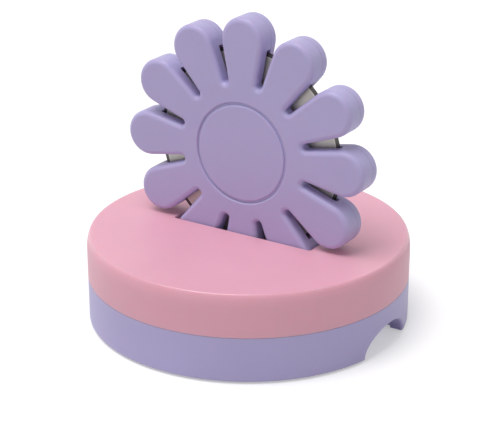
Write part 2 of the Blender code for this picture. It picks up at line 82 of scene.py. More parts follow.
def node_size(node):
    """Width, depth and height of a frame node."""
    low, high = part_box(node)
    return high - low


def node_middle(node):
    """Middle of the box round a frame node."""
    low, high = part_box(node)
    return (low + high) / 2


def linear(*srgb):
    """A colour written as 0 to 255 in sRGB, as linear values."""
    shares = [value / 255 for value in srgb]
    return tuple(c / 12.92 if c <= 0.04045 else ((c + 0.055) / 1.055) ** 2.4 for c in shares)


def length_property(name, description, default):
    return FloatProperty(name=name, description=description, default=default, min=0, unit="LENGTH")


def colour_property(name, description, default):
    return FloatVectorProperty(
        name=name, description=description, default=default, size=3, min=0, max=1, subtype="COLOR"
    )


def count_property(name, description, default):
    return IntProperty(name=name, description=description, default=default, min=3)


def angle_property(name, description, degrees):
    return FloatProperty(name=name, description=description, default=math.radians(degrees), subtype="ANGLE")


class YarnCutterHeadSettings(bpy.types.PropertyGroup):
    """Sizes of the cutter head that a user would change."""

    petals: count_property("Petals", "Petals round the head", 12)
    radius: length_property("Radius", "Centre to petal tip", node_size("front_shell").z / 2)
    centre: length_property("Centre height", "Height of the blade's axis", node_middle("cutter_blade").z)
    gap_width: length_property("Gap width", "Width of a yarn gap between two petal tips", 2.7 * MM)
    gap_root: length_property("Gap root", "Width of a yarn gap at its inner end", 1.4 * MM)
    gap_floor: length_property("Gap floor", "Centre to the inner end of a yarn gap", 15.3 * MM)
    front_round: length_property("Front rounding", "Rounding of the front edges", 1.1 * MM)
    rear_round: length_property("Rear rounding", "Rounding of the rear edges", 0.6 * MM)
    parting_round: length_property("Parting rounding", "Rounding where the two shells meet", 0.08 * MM)
    parting_gap: length_property("Parting gap", "Gap between the two shells", 0.03 * MM)
    pocket_radius: length_property("Pocket radius", "Radius of the blade pocket", 23.0 * MM)
    pocket_depth: length_property("Pocket depth", "Front face to the pocket's ceiling", 2.84 * MM)
    cap_recess: length_property("Cap recess", "Radius of the recess for the cap", 11.1 * MM)
    cap_radius: length_property("Cap radius", "Radius of the cap's face", 10.6 * MM)
    cap_flange: length_property("Cap flange", "Thickness of the cap's flange", 0.6 * MM)
    cap_round: length_property("Cap rounding", "Rounding of the cap's edge", 0.38 * MM)
    cap_gap: length_property("Cap gap", "Gap behind the cap", 0.1 * MM)
    screw_gap: length_property("Screw gap", "Gap round the blade screw's head", 0.2 * MM)
    screw_room: length_property("Screw room", "Depth of the hollow behind the cap", 0.6 * MM)
    sink_gap: length_property("Sink gap", "Gap round a sunk head of a shell screw", 0.15 * MM)
    shell_hole: length_property("Shell hole", "Radius of a shell screw's hole", 0.95 * MM)
    blade_bore: length_property("Blade bore", "Radius of the hole in the blade", 4.0 * MM)
    blade_bevel: length_property("Blade bevel", "Width of the ground edge of the blade", 0.9 * MM)
    blade_edge: length_property("Blade edge", "Thickness of the blade at its edge", 0.05 * MM)


class YarnCutterStandSettings(bpy.types.PropertyGroup):
    """Sizes of the stand that a user would change."""

    radius: length_property("Radius", "Radius of the stand", node_size("top_cover").x / 2)
    top: length_property("Top", "Height of the stand's top face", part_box("top_cover")[1].z)
    seam: length_property("Seam", "Height of the seam between tray and cover", 10.2 * MM)
    seam_gap: length_property("Seam gap", "Gap between tray and cover", 0.03 * MM)
    seam_round: length_property("Seam rounding", "Rounding of the two edges at the seam", 0.08 * MM)
    rim: length_property("Rim", "Height of the tray's rim above the surface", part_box("base_tray")[0].z)
    shoulder_width: length_property("Shoulder width", "How far the cover's shoulder reaches in", 0.9 * MM)
    shoulder_height: length_property("Shoulder height", "How far the cover's shoulder reaches down", 3.2 * MM)
    wall: length_property("Wall", "Thickness of the cover", 2.2 * MM)
    slot_length: length_property("Slot length", "Length of the slot for the head", 34.77 * MM)
    slot_width: length_property("Slot width", "Width of the slot for the head", 6.7 * MM)
    slot_round: length_property("Slot rounding", "Rounding of the slot's upper edge", 0.35 * MM)
    slot_corner: length_property("Slot corner", "Rounding of the slot's upright corners", 0.6 * MM)
    recess_half_width: length_property("Recess half width", "Half width of a finger recess", 8.2 * MM)
    recess_height: length_property("Recess height", "Height of a finger recess", 5.2 * MM)
    recess_depth: length_property("Recess depth", "Depth of a finger recess", 6.5 * MM)
    recess_round: length_property("Recess rounding", "Rounding of the mouth of a finger recess", 0.7 * MM)
    recess_back: length_property("Recess back", "Rounding of the inner end of a finger recess", 1.6 * MM)
    recess_wall: length_property("Recess wall", "Thickness of the wall round a finger recess", 1.8 * MM)
    boss_radius: length_property("Boss radius", "Radius of a screw boss in the cover", 2.8 * MM)
    pilot_radius: length_property("Pilot radius", "Radius of the hole in a screw boss", 1.16 * MM)
    post_radius: length_property("Post radius", "Radius of a screw post in the tray", 3.4 * MM)
    hole_radius: length_property("Hole radius", "Radius of a screw hole in the tray", 1.25 * MM)
    lip_gap: length_property("Lip gap", "Gap between the tray's lip and the cover", 0.2 * MM)
    lip_wall: length_property("Lip wall", "Thickness of the tray's lip", 1.2 * MM)
    floor_gap: length_property("Floor gap", "Gap between the tray's floor and what lies on it", 0.1 * MM)
    rim_width: length_property("Rim width", "Width of the rim under the tray", 3.0 * MM)
    rim_round: length_property("Rim rounding", "Rounding of the tray's lower edge", 0.5 * MM)
    foot_round: length_property("Foot rounding", "Rounding of a foot's lower edge", 0.3 * MM)
    groove_inset: length_property("Groove inset", "Foot's edge to the groove under it", 0.9 * MM)
    groove_slope: length_property("Groove slope", "Width of each flank of that groove", 0.25 * MM)
    groove_depth: length_property("Groove depth", "Depth of that groove", 0.12 * MM)


class YarnCutterFinishSettings(bpy.types.PropertyGroup):
    """Colours of the finishes."""

    pink: colour_property("Pink", "Moulded plastic of the cover", linear(232, 171, 189))
    lavender: colour_property("Lavender", "Moulded plastic of the head and the tray", linear(184, 175, 218))
    steel: colour_property("Steel", "Face of the blade", linear(188, 184, 178))
    plating: colour_property("Plating", "Plated screws, washers and ballast", linear(190, 190, 192))
    brass: colour_property("Brass", "Bush of the blade", linear(216, 186, 120))
    silicone: colour_property("Silicone", "Feet and grip strips", linear(92, 88, 98))


class YarnCutterStageSettings(bpy.types.PropertyGroup):
    """Camera and light."""

    azimuth: angle_property("Azimuth", "Camera's angle round the object", 32.35)
    elevation: angle_property("Elevation", "Camera's angle above the horizon", 22.2)
    distance: length_property("Distance", "Camera to its target", 350.2 * MM)
    target: length_property("Target height", "Height that the camera looks at", 21.62 * MM)
    lens: FloatProperty(name="Lens", description="Focal length in millimetres", default=119.4)
    shift: FloatProperty(name="Shift", description="Sideways shift of the camera, in pixels", default=-4.6)
    sky: FloatProperty(name="Sky", description="Strength of the even light from all round", default=0.42)
    sun: FloatProperty(name="Sun", description="Strength of the soft light from above", default=1.97)
    sun_azimuth: angle_property("Sun azimuth", "Angle of the soft light round the object", -38)
    sun_elevation: angle_property("Sun elevation", "Angle of the soft light above the horizon", 73)
    sun_spread: angle_property("Sun spread", "Angle over which the soft light comes", 40)
    floor: colour_property("Floor", "Colour of the floor", (0.7, 0.7, 0.7))
    floor_glow: colour_property("Floor glow", "What the camera sees on top of the lit floor", (0.4, 0.4, 0.4))


def settings():
    """The settings of the head, the stand, the finishes and the stage."""
    scene = bpy.context.scene
    return scene.yarn_cutter_head, scene.yarn_cutter_stand, scene.yarn_cutter_finish, scene.yarn_cutter_stage


class Signal:
    """A shader socket that Python's operators work on: each operation adds a Math node."""

    def __init__(self, tree, socket):
        self.tree = tree
        self.socket = socket

    def math(self, operation, *values):
        node = self.tree.nodes.new("ShaderNodeMath")
        node.operation = operation
        for socket, value in zip(node.inputs, values):
            if isinstance(value, Signal):
                self.tree.links.new(value.socket, socket)
            else:
                socket.default_value = value
        return Signal(self.tree, node.outputs[0])

    def __add__(self, other):
        return self.math("ADD", self, other)

    def __sub__(self, other):
        return self.math("SUBTRACT", self, other)

    def __rsub__(self, other):
        return self.math("SUBTRACT", other, self)

    def __mul__(self, other):
        return self.math("MULTIPLY", self, other)

    def __truediv__(self, other):
        return self.math("DIVIDE", self, other)

    def __pow__(self, other):
        return self.math("POWER", self, other)

    __radd__ = __add__
    __rmul__ = __mul__


class Finish:
    """A material that is put together node by node."""

    def __init__(self, name):
        self.material = bpy.data.materials.new(name)
        self.material.use_nodes = True
        self.tree = self.material.node_tree
        self.shader = self.tree.nodes["Principled BSDF"]

    def node(self, kind, choices=None, inputs=None, output=0):
        """A node of that type. Its choices are set first, then its sockets get values or links."""
        node = self.tree.nodes.new("ShaderNode" + kind)
        for name, value in (choices or {}).items():
            if name == "stops":
                self.set_stops(node.color_ramp, value)
            else:
                setattr(node, name, value)
        for name, value in (inputs or {}).items():
            self.feed(node.inputs[name], value)
        return Signal(self.tree, node.outputs[output])

    def set_stops(self, ramp, stops):
        while len(ramp.elements) < len(stops):
            ramp.elements.new(1)
        for element, (position, value) in zip(ramp.elements, stops):
            element.position = position
            element.color = (value, value, value, 1)

    def feed(self, socket, value):
        if isinstance(value, Signal):
            self.tree.links.new(value.socket, socket)
        else:
            socket.default_value = value

    def set(self, **inputs):
        for name, value in inputs.items():
            self.feed(self.shader.inputs[name.replace("_", " ")], value)

    def place(self):
        """Object coordinates."""
        return self.node("TexCoord", output="Object")

    def noise(self, vector, scale, detail=2.0, roughness=0.5):
        inputs = {"Vector": vector, "Scale": scale, "Detail": detail, "Roughness": roughness}
        return self.node("TexNoise", {"noise_dimensions": "3D"}, inputs)

    def ramp(self, value, *stops):
        return self.node("ValToRGB", {"stops": stops}, {"Fac": value})

    def rise(self, value, start, width):
        """0 below start, and 1 from start plus width."""
        return self.ramp((value - start) / width, (0.0, 0), (1.0, 1))

    def axes(self, vector):
        """The three parts of a vector."""
        split = self.node("SeparateXYZ", inputs={"Vector": vector}).socket.node
        return (Signal(self.tree, split.outputs[axis]) for axis in "XYZ")

    def blend(self, factor, first, second):
        """A colour between two others."""
        node = self.tree.nodes.new("ShaderNodeMix")
        node.data_type = "RGBA"
        self.feed(node.inputs["Factor"], factor)
        for socket, colour in ((node.inputs[6], first), (node.inputs[7], second)):
            self.feed(socket, colour if isinstance(colour, Signal) else (*colour, 1))
        return Signal(self.tree, node.outputs[2])

    def bump(self, height, distance, strength=1.0):
        inputs = {"Height": height, "Distance": distance, "Strength": strength}
        self.set(Normal=self.node("Bump", inputs=inputs))


def shade(colour, share):
    """A colour made lighter or darker."""
    return tuple(min(1.0, c * share) for c in colour)


def moulded_plastic(name, colour, edge=None):
    """Satin moulded plastic: a fine spark-eroded grain, faint flow clouding and a softer gloss in places.

    Hands rub the grain off a round piece's upper edge: what lies beyond edge, a radius and a height.
    """
    finish = Finish(name)
    place = finish.place()
    cloud = finish.noise(place, 55, 3)
    grain = finish.noise(place, 2600, 2, 0.6)
    flow = finish.ramp(cloud, (0.3, 0), (0.7, 1))
    finish.set(Base_Color=finish.blend(flow, shade(colour, 0.975), shade(colour, 1.02)))
    roughness = 0.38 + 0.07 * cloud + 0.05 * grain
    if edge:
        x, y, z = finish.axes(place)
        outside = finish.rise((x * x + y * y) ** 0.5, edge[0], RUB_FADE)
        above = finish.rise(z, edge[1], RUB_FADE)
        roughness = roughness - 0.22 * (outside * above)
    finish.set(Roughness=roughness)
    finish.bump(grain, 0.012 * MM, 0.5)
    finish.set(Subsurface_Weight=0.3, Subsurface_Radius=(1.0, 0.4, 0.5), Subsurface_Scale=2.0 * MM)
    return finish.material


def ground_blade(name, colour, centre, radius, bevel):
    """Hardened steel: fine rings on the face, and a ground bevel with radial scratches whose colour is
    darkened as painted shade, with a painted highlight line along the bevel's inner edge.
    """
    finish = Finish(name)
    offset = finish.node("VectorMath", {"operation": "SUBTRACT"}, {0: finish.place(), 1: (0, 0, centre)})
    x, _, z = finish.axes(offset)
    reach = (x * x + z * z) ** 0.5
    across = finish.node("CombineXYZ", inputs={"X": reach * 9000})
    rings = finish.noise(across, 1, 3, 0.7)
    around = finish.node("CombineXYZ", inputs={"X": x / reach * 160, "Y": z / reach * 160, "Z": reach * 300})
    scratches = finish.noise(around, 1, 2, 0.6)
    inner = radius - bevel
    on_bevel = finish.rise(reach, inner - BEVEL_FADE / 2, BEVEL_FADE)
    face = finish.blend(rings, shade(colour, 0.86), shade(colour, 1.08))
    # Painted shade: the bevel's steel is painted far darker than the face, standing in for the dark
    # reflections it shows; the radial scratches in it are the steel's own.
    edge = finish.blend(scratches, shade(colour, 0.14), shade(colour, 0.26))
    # Painted highlight: a bright line painted into the steel's colour along the face's border with the bevel.
    painted_highlight = finish.ramp((reach - (inner - PAINTED_HIGHLIGHT_INSET)) / PAINTED_HIGHLIGHT_WIDTH, (0.0, 0), (0.5, 1), (1.0, 0))
    ground = finish.blend(on_bevel, face, edge)
    finish.set(Base_Color=finish.blend(painted_highlight * 0.7, ground, shade(colour, 1.6)), Metallic=0.85)
    finish.set(Roughness=0.34 + 0.16 * rings - 0.12 * on_bevel)
    finish.bump(rings * (1 - on_bevel) + scratches * on_bevel, 0.004 * MM, 0.6)
    return finish.material


def plated_metal(name, colour, roughness):
    """Plated or turned metal: a fine grain that breaks up the reflections."""
    finish = Finish(name)
    place = finish.place()
    cloud = finish.noise(place, 320, 3)
    grain = finish.noise(place, 4200, 2)
    finish.set(Base_Color=finish.blend(cloud, shade(colour, 0.85), shade(colour, 1.05)), Metallic=1.0)
    finish.set(Roughness=roughness + 0.14 * cloud)
    finish.bump(grain, 0.006 * MM, 0.4)
    return finish.material


def soft_silicone(name, colour):
    """Matt silicone with a powdery grain."""
    finish = Finish(name)
    place = finish.place()
    cloud = finish.noise(place, 180, 3)
    grain = finish.noise(place, 5200, 2)
    finish.set(Base_Color=finish.blend(cloud, shade(colour, 0.85), shade(colour, 1.15)))
    finish.set(Roughness=0.68 + 0.14 * cloud)
    finish.bump(grain, 0.02 * MM, 0.6)
    return finish.material


def finish_named(name):
    """The finish with that name, made the first time that it is asked for."""
    found = bpy.data.materials.get(name)
    if found:
        return found
    head, stand, colours, _ = settings()
    radius = node_size("cutter_blade").x / 2
    edge = (stand.radius - 1.5 * stand.shoulder_width, stand.top - stand.shoulder_height / 4)
    makers = {
        "pink_moulding": lambda: moulded_plastic(name, colours.pink, edge),
        "lavender_moulding": lambda: moulded_plastic(name, colours.lavender),
        "blade_finish": lambda: ground_blade(name, colours.steel, head.centre, radius, head.blade_bevel),
        "plated_finish": lambda: plated_metal(name, colours.plating, 0.3),
        "brass_finish": lambda: plated_metal(name, colours.brass, 0.22),
        "silicone_finish": lambda: soft_silicone(name, colours.silicone),
    }
    return makers[name]()


def start(add, name, **sizes):
    """Adds a primitive with nothing else selected."""
    if bpy.context.mode != "OBJECT":
        bpy.ops.object.mode_set(mode="OBJECT")
    bpy.ops.object.select_all(action="DESELECT")
    add(**sizes)
    made = bpy.context.active_object
    made.name = made.data.name = name
    return made


def activate(obj):
    if bpy.context.mode != "OBJECT":
        bpy.ops.object.mode_set(mode="OBJECT")
    bpy.ops.object.select_all(action="DESELECT")
    obj.select_set(True)
    bpy.context.view_layer.objects.active = obj


def edit(obj):
    activate(obj)
    bpy.ops.object.mode_set(mode="EDIT")
    bpy.ops.mesh.select_all(action="DESELECT")


def choose(kind, test):
    """In edit mode, selects the edges or faces that pass the test."""
    bpy.ops.mesh.select_mode(type=kind)
    bpy.ops.mesh.select_all(action="DESELECT")
    work = bmesh.from_edit_mesh(bpy.context.edit_object.data)
    for element in work.edges if kind == "EDGE" else work.faces:
        if test(element):
            element.select_set(True)
    bmesh.update_edit_mesh(bpy.context.edit_object.data)


def pick(kind, test):
    """In edit mode, selects the edges or faces all of whose corners pass the test."""
    choose(kind, lambda element: all(test(corner.co) for corner in element.verts))


def near(value, level, slack=1e-6):
    return abs(value - level) < slack


def move_corners(place):
    """In edit mode, moves every corner to place(corner)."""
    work = bmesh.from_edit_mesh(bpy.context.edit_object.data)
    for corner in work.verts:
        corner.co = place(corner.co.copy())
    work.normal_update()
    bmesh.update_edit_mesh(bpy.context.edit_object.data)


def raise_faces(height):
    bpy.ops.mesh.extrude_region_move(TRANSFORM_OT_translate={"value": (0, 0, height)})


def modify(obj, kind, **values):
    """Adds a modifier and applies it."""
    activate(obj)
    modifier = obj.modifiers.new(kind.lower(), kind)
    for name, value in values.items():
        setattr(modifier, name, value)
    bpy.ops.object.modifier_apply(modifier=modifier.name)


def carve(obj, tool, operation="DIFFERENCE"):
    """Cuts a tool from a piece, or joins it on, and removes the tool."""
    modify(obj, "BOOLEAN", operation=operation, object=tool, solver="EXACT")
    bpy.data.objects.remove(tool)


def rod(name, radius, low, high, facets=96, at=(0, 0)):
    """A round tool or blank between two heights."""
    middle = (*at, (low + high) / 2)
    add = bpy.ops.mesh.primitive_cylinder_add
    return start(add, name, vertices=facets, radius=radius, depth=high - low, location=middle)


def block(name, size, middle):
    return start(bpy.ops.mesh.primitive_cube_add, name, size=1, location=middle, scale=size)


def apply_place(obj):
    activate(obj)
    bpy.ops.object.transform_apply(location=True, rotation=True, scale=True)


def settle(obj, body, node, finish, angle=32):
    """Smooths a finished piece, puts its place in its mesh, and sets it on its body for a frame node."""
    apply_place(obj)
    obj.data.materials.clear()
    obj.data.materials.append(finish_named(finish))
    bpy.ops.object.shade_smooth_by_angle(angle=math.radians(angle))
    modify(obj, "WEIGHTED_NORMAL", mode="FACE_AREA_WITH_ANGLE", keep_sharp=True)
    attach(obj, body)
    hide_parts(node)


def dress(node, finish):
    """Gives a finish to a frame node that isn't modelled again."""
    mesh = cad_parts[node].data
    mesh.materials.clear()
    mesh.materials.append(finish_named(finish))


def arc(centre, radius, first, last, steps):
    angles = [first + (last - first) * i / steps for i in range(steps + 1)]
    return [(centre[0] + radius * math.cos(a), centre[1] + radius * math.sin(a)) for a in angles]


def petal_outline(head, tip_steps=22, root_steps=10):
    """The flower's outline: petal tips and gap roots as arcs that straight flanks join tangentially."""
    step = 2 * math.pi / head.petals
    half = step / 2
    tip_radius = (head.radius * math.sin(half) - head.gap_width / 2) / (1 + math.sin(half))
    tip_reach = head.radius - tip_radius
    root_radius = head.gap_root / 2
    root_reach = head.gap_floor + root_radius
    span = Vector((-root_reach * math.sin(half), root_reach * math.cos(half) - tip_reach))
    lean = math.acos((tip_radius + root_radius) / span.length)
    tip_end = math.atan2(span.y, span.x) % (2 * math.pi) - lean
    root_start = tip_end - math.pi
    root_end = step - math.pi - root_start
    points = []
    for petal in range(head.petals):
        turn = petal * step
        tip = (-tip_reach * math.sin(turn), tip_reach * math.cos(turn))
        root = (-root_reach * math.sin(turn + half), root_reach * math.cos(turn + half))
        points += arc(tip, tip_radius, math.pi - tip_end + turn, tip_end + turn, tip_steps)
        points += arc(root, root_radius, root_start + turn, root_end + turn, root_steps)
    return points


def petal_plate(name, head, low, high, outer_level, outer_round):
    """A flower-shaped plate between two levels, with one face well rounded and a fine edge at the other."""
    outline = petal_outline(head)
    plate = start(bpy.ops.mesh.primitive_circle_add, name, vertices=len(outline), radius=1, fill_type="NGON")
    edit(plate)
    work = bmesh.from_edit_mesh(plate.data)
    work.verts.ensure_lookup_table()
    for corner, (x, y) in zip(work.verts, outline):
        corner.co = (x, y, low)
    bmesh.update_edit_mesh(plate.data)
    bpy.ops.mesh.select_all(action="SELECT")
    raise_faces(high - low)
    bpy.ops.mesh.select_all(action="SELECT")
    bpy.ops.mesh.normals_make_consistent(inside=False)
    other_level = low if outer_level == high else high
    pick("EDGE", lambda co: near(co.z, outer_level))
    bpy.ops.mesh.bevel(offset=outer_round, segments=6, profile=0.5)
    pick("EDGE", lambda co: near(co.z, other_level))
    bpy.ops.mesh.bevel(offset=head.parting_round, segments=2, profile=0.5)
    bpy.ops.object.mode_set(mode="OBJECT")
    return plate


def stand_up(obj, head):
    """Stands a piece that was modelled lying down, front upwards, at its place in the head."""
    obj.rotation_euler = (math.pi / 2, 0, 0)
    obj.location.z = head.centre
    apply_place(obj)


def levels(node):
    """Rear and front level of a head node, measured from the head's own middle towards its front."""
    low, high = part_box(node)
    return -high.y, -low.y


def node_place(node, head):
    """Where a head node's middle lies in the plane of the head: across and up from the blade's axis."""
    middle = node_middle(node)
    return middle.x, middle.z - head.centre


class YARNCUTTER_OT_petal_shells(bpy.types.Operator):
    """Models the front and rear petal shells with the blade pocket between them"""

    bl_idname = "yarn_cutter.petal_shells"
    bl_label = "Petal shells"

    def execute(self, context):
        head = settings()[0]
        parting, front = levels("front_shell")
        shell = petal_plate("front_petals", head, parting, front, front, head.front_round)
        apply_place(shell)
        ceiling = front - head.pocket_depth
        carve(shell, rod("pocket_tool", head.pocket_radius, parting - MM, ceiling, 192))
        cap_floor = levels("centre_cap")[0] - head.cap_gap
        carve(shell, rod("cap_tool", head.cap_recess, cap_floor, front + MM, 128))
        self.round_recess(shell, head, front)
        stand_up(shell, head)
        settle(shell, "head", "front_shell", "lavender_moulding")
        rear, hub = levels("rear_shell")
        parting -= head.parting_gap
        shell = petal_plate("rear_petals", head, rear, parting, rear, head.rear_round)
        apply_place(shell)
        hub_radius = node_size("rear_washer").x / 2
        carve(shell, rod("hub_blank", hub_radius, rear + MM, hub, 96), "UNION")
        for node in SHELL_SCREWS:
            at = node_place(node, head)
            radius = node_size(node).x / 2 + head.sink_gap
            carve(shell, rod("sink_tool", radius, rear - MM, rear + MM, 48, at))
            carve(shell, rod("hole_tool", head.shell_hole, rear - MM, parting + MM, 32, at))
        stand_up(shell, head)
        settle(shell, "head", "rear_shell", "lavender_moulding")
        return {"FINISHED"}

    def round_recess(self, shell, head, front):
        """Rounds the edge of the recess that the cap sits in."""
        edit(shell)
        pick("EDGE", lambda co: near(co.z, front) and near(co.xy.length, head.cap_recess, ON_EDGE))
        bpy.ops.mesh.bevel(offset=head.cap_round, segments=4, profile=0.5)
        bpy.ops.object.mode_set(mode="OBJECT")


class YARNCUTTER_OT_centre_cap(bpy.types.Operator):
    """Models the plain cap in the middle of the head"""

    bl_idname = "yarn_cutter.centre_cap"
    bl_label = "Centre cap"

    def execute(self, context):
        head = settings()[0]
        low, high = levels("centre_cap")
        flange = head.cap_recess - head.parting_gap
        step = low + head.cap_flange
        cap = rod("cap_disc", flange, low, step, 144)
        apply_place(cap)
        edit(cap)
        pick("FACE", lambda co: near(co.z, step))
        bpy.ops.mesh.inset(thickness=flange - head.cap_radius, depth=0)
        raise_faces(high - step)
        pick("EDGE", lambda co: near(co.z, high))
        bpy.ops.mesh.bevel(offset=head.cap_round, segments=4, profile=0.5)
        bpy.ops.object.mode_set(mode="OBJECT")
        screw = node_size("blade_screw").x / 2 + head.screw_gap
        carve(cap, rod("screw_room_tool", screw, low - MM, low + head.screw_room, 48))
        stand_up(cap, head)
        settle(cap, "head", "centre_cap", "lavender_moulding")
        return {"FINISHED"}


class YARNCUTTER_OT_blade(bpy.types.Operator):
    """Models the round blade with its ground edge"""

    bl_idname = "yarn_cutter.blade"
    bl_label = "Blade"

    def execute(self, context):
        head = settings()[0]
        low, high = levels("cutter_blade")
        radius = node_size("cutter_blade").x / 2
        blade = rod("blade_disc", radius, low, high, 256)
        apply_place(blade)
        edit(blade)
        choose("FACE", lambda face: abs(face.normal.z) > 0.9)
        bpy.ops.mesh.inset(thickness=head.blade_bevel, depth=0)
        middle = (low + high) / 2
        share = head.blade_edge / (high - low)

        def grind(co):
            if co.xy.length > radius - head.blade_bevel / 2:
                co.z = middle + (co.z - middle) * share
            return co

        move_corners(grind)
        bpy.ops.object.mode_set(mode="OBJECT")
        carve(blade, rod("bore_tool", head.blade_bore, low - MM, high + MM, 96))
        stand_up(blade, head)
        settle(blade, "blade", "cutter_blade", "blade_finish", 3)
        return {"FINISHED"}


class YARNCUTTER_OT_top_cover(bpy.types.Operator):
    """Models the cover with its round shoulder and the slot for the head"""

    bl_idname = "yarn_cutter.top_cover"
    bl_label = "Top cover"

    def execute(self, context):
        stand = settings()[1]
        foot = stand.seam + stand.seam_gap
        cover = rod("cover_shell", stand.radius, foot, stand.top, 240)
        apply_place(cover)
        edit(cover)
        pick("EDGE", lambda co: near(co.z, stand.top))
        bpy.ops.mesh.bevel(offset=stand.shoulder_height, segments=18, profile=0.5)
        move_corners(lambda co: self.press_out(co, stand))
        pick("FACE", lambda co: near(co.z, foot))
        bpy.ops.mesh.inset(thickness=stand.wall, depth=0)
        raise_faces(stand.top - stand.wall - foot)
        pick("EDGE", lambda co: near(co.z, stand.top - stand.wall) and co.xy.length > stand.radius / 2)
        bpy.ops.mesh.bevel(offset=stand.wall / 2, segments=4, profile=0.5)
        pick("EDGE", lambda co: near(co.z, foot) and near(co.xy.length, stand.radius, ON_EDGE))
        bpy.ops.mesh.bevel(offset=stand.seam_round, segments=2, profile=0.5)
        bpy.ops.object.mode_set(mode="OBJECT")
        carve(cover, self.slot_tool(stand))
        boss_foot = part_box("top_cover")[0].z
        boss_top = stand.top - stand.wall / 2
        for node in COVER_SCREWS:
            at = node_middle(node).xy
            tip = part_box(node)[1].z
            carve(cover, rod("boss_blank", stand.boss_radius, boss_foot, boss_top, 48, at), "UNION")
            carve(cover, rod("pilot_tool", stand.pilot_radius, boss_foot - MM, tip + OVERLAP, 32, at))
        settle(cover, "stand", "top_cover", "pink_moulding")
        return {"FINISHED"}

    def press_out(self, co, stand):
        """Turns a round shoulder into one that reaches down farther than in."""
        if co.z > stand.top - stand.shoulder_height:
            reach_in = (stand.radius - co.xy.length) * stand.shoulder_width / stand.shoulder_height
            co.xy = co.xy.normalized() * (stand.radius - reach_in)
        return co

    def slot_tool(self, stand):
        """The slot as a solid that flares at the top, so that the slot's upper edge comes out rounded."""
        low = stand.top - 2 * stand.wall
        size = (stand.slot_length, stand.slot_width, stand.top - low)
        tool = block("slot_tool", size, (0, 0, (low + stand.top) / 2))
        apply_place(tool)
        edit(tool)
        choose("EDGE", lambda line: abs(line.verts[0].co.z - line.verts[1].co.z) > MM)
        bpy.ops.mesh.bevel(offset=stand.slot_corner, segments=5, profile=0.5)
        self.flare(tool, stand)
        bpy.ops.object.mode_set(mode="OBJECT")
        return tool

    def flare(self, tool, stand, steps=5):
        """Draws the tool's top up and outwards along a quarter circle."""
        pick("FACE", lambda co: near(co.z, stand.top))
        work = bmesh.from_edit_mesh(tool.data)
        for corner in work.verts:
            if near(corner.co.z, stand.top):
                corner.co.z -= stand.slot_round
        bmesh.update_edit_mesh(tool.data)
        reach = 0
        level = stand.top - stand.slot_round
        for step in range(1, steps + 1):
            turn = math.pi / 2 * step / steps
            next_reach = stand.slot_round * (1 - math.cos(turn))
            next_level = stand.top - stand.slot_round + stand.slot_round * math.sin(turn)
            raise_faces(next_level - level)
            self.spread(stand, reach, next_reach)
            reach, level = next_reach, next_level
        raise_faces(MM)

    def spread(self, stand, reach, next_reach):
        """Moves the selected corners outwards, away from the slot's long and short middle lines."""
        work = bmesh.from_edit_mesh(bpy.context.edit_object.data)
        for corner in work.verts:
            if corner.select:
                half = (stand.slot_length / 2 + reach, stand.slot_width / 2 + reach)
                corner.co.x *= (half[0] + next_reach - reach) / half[0]
                corner.co.y *= (half[1] + next_reach - reach) / half[1]
        bmesh.update_edit_mesh(bpy.context.edit_object.data)


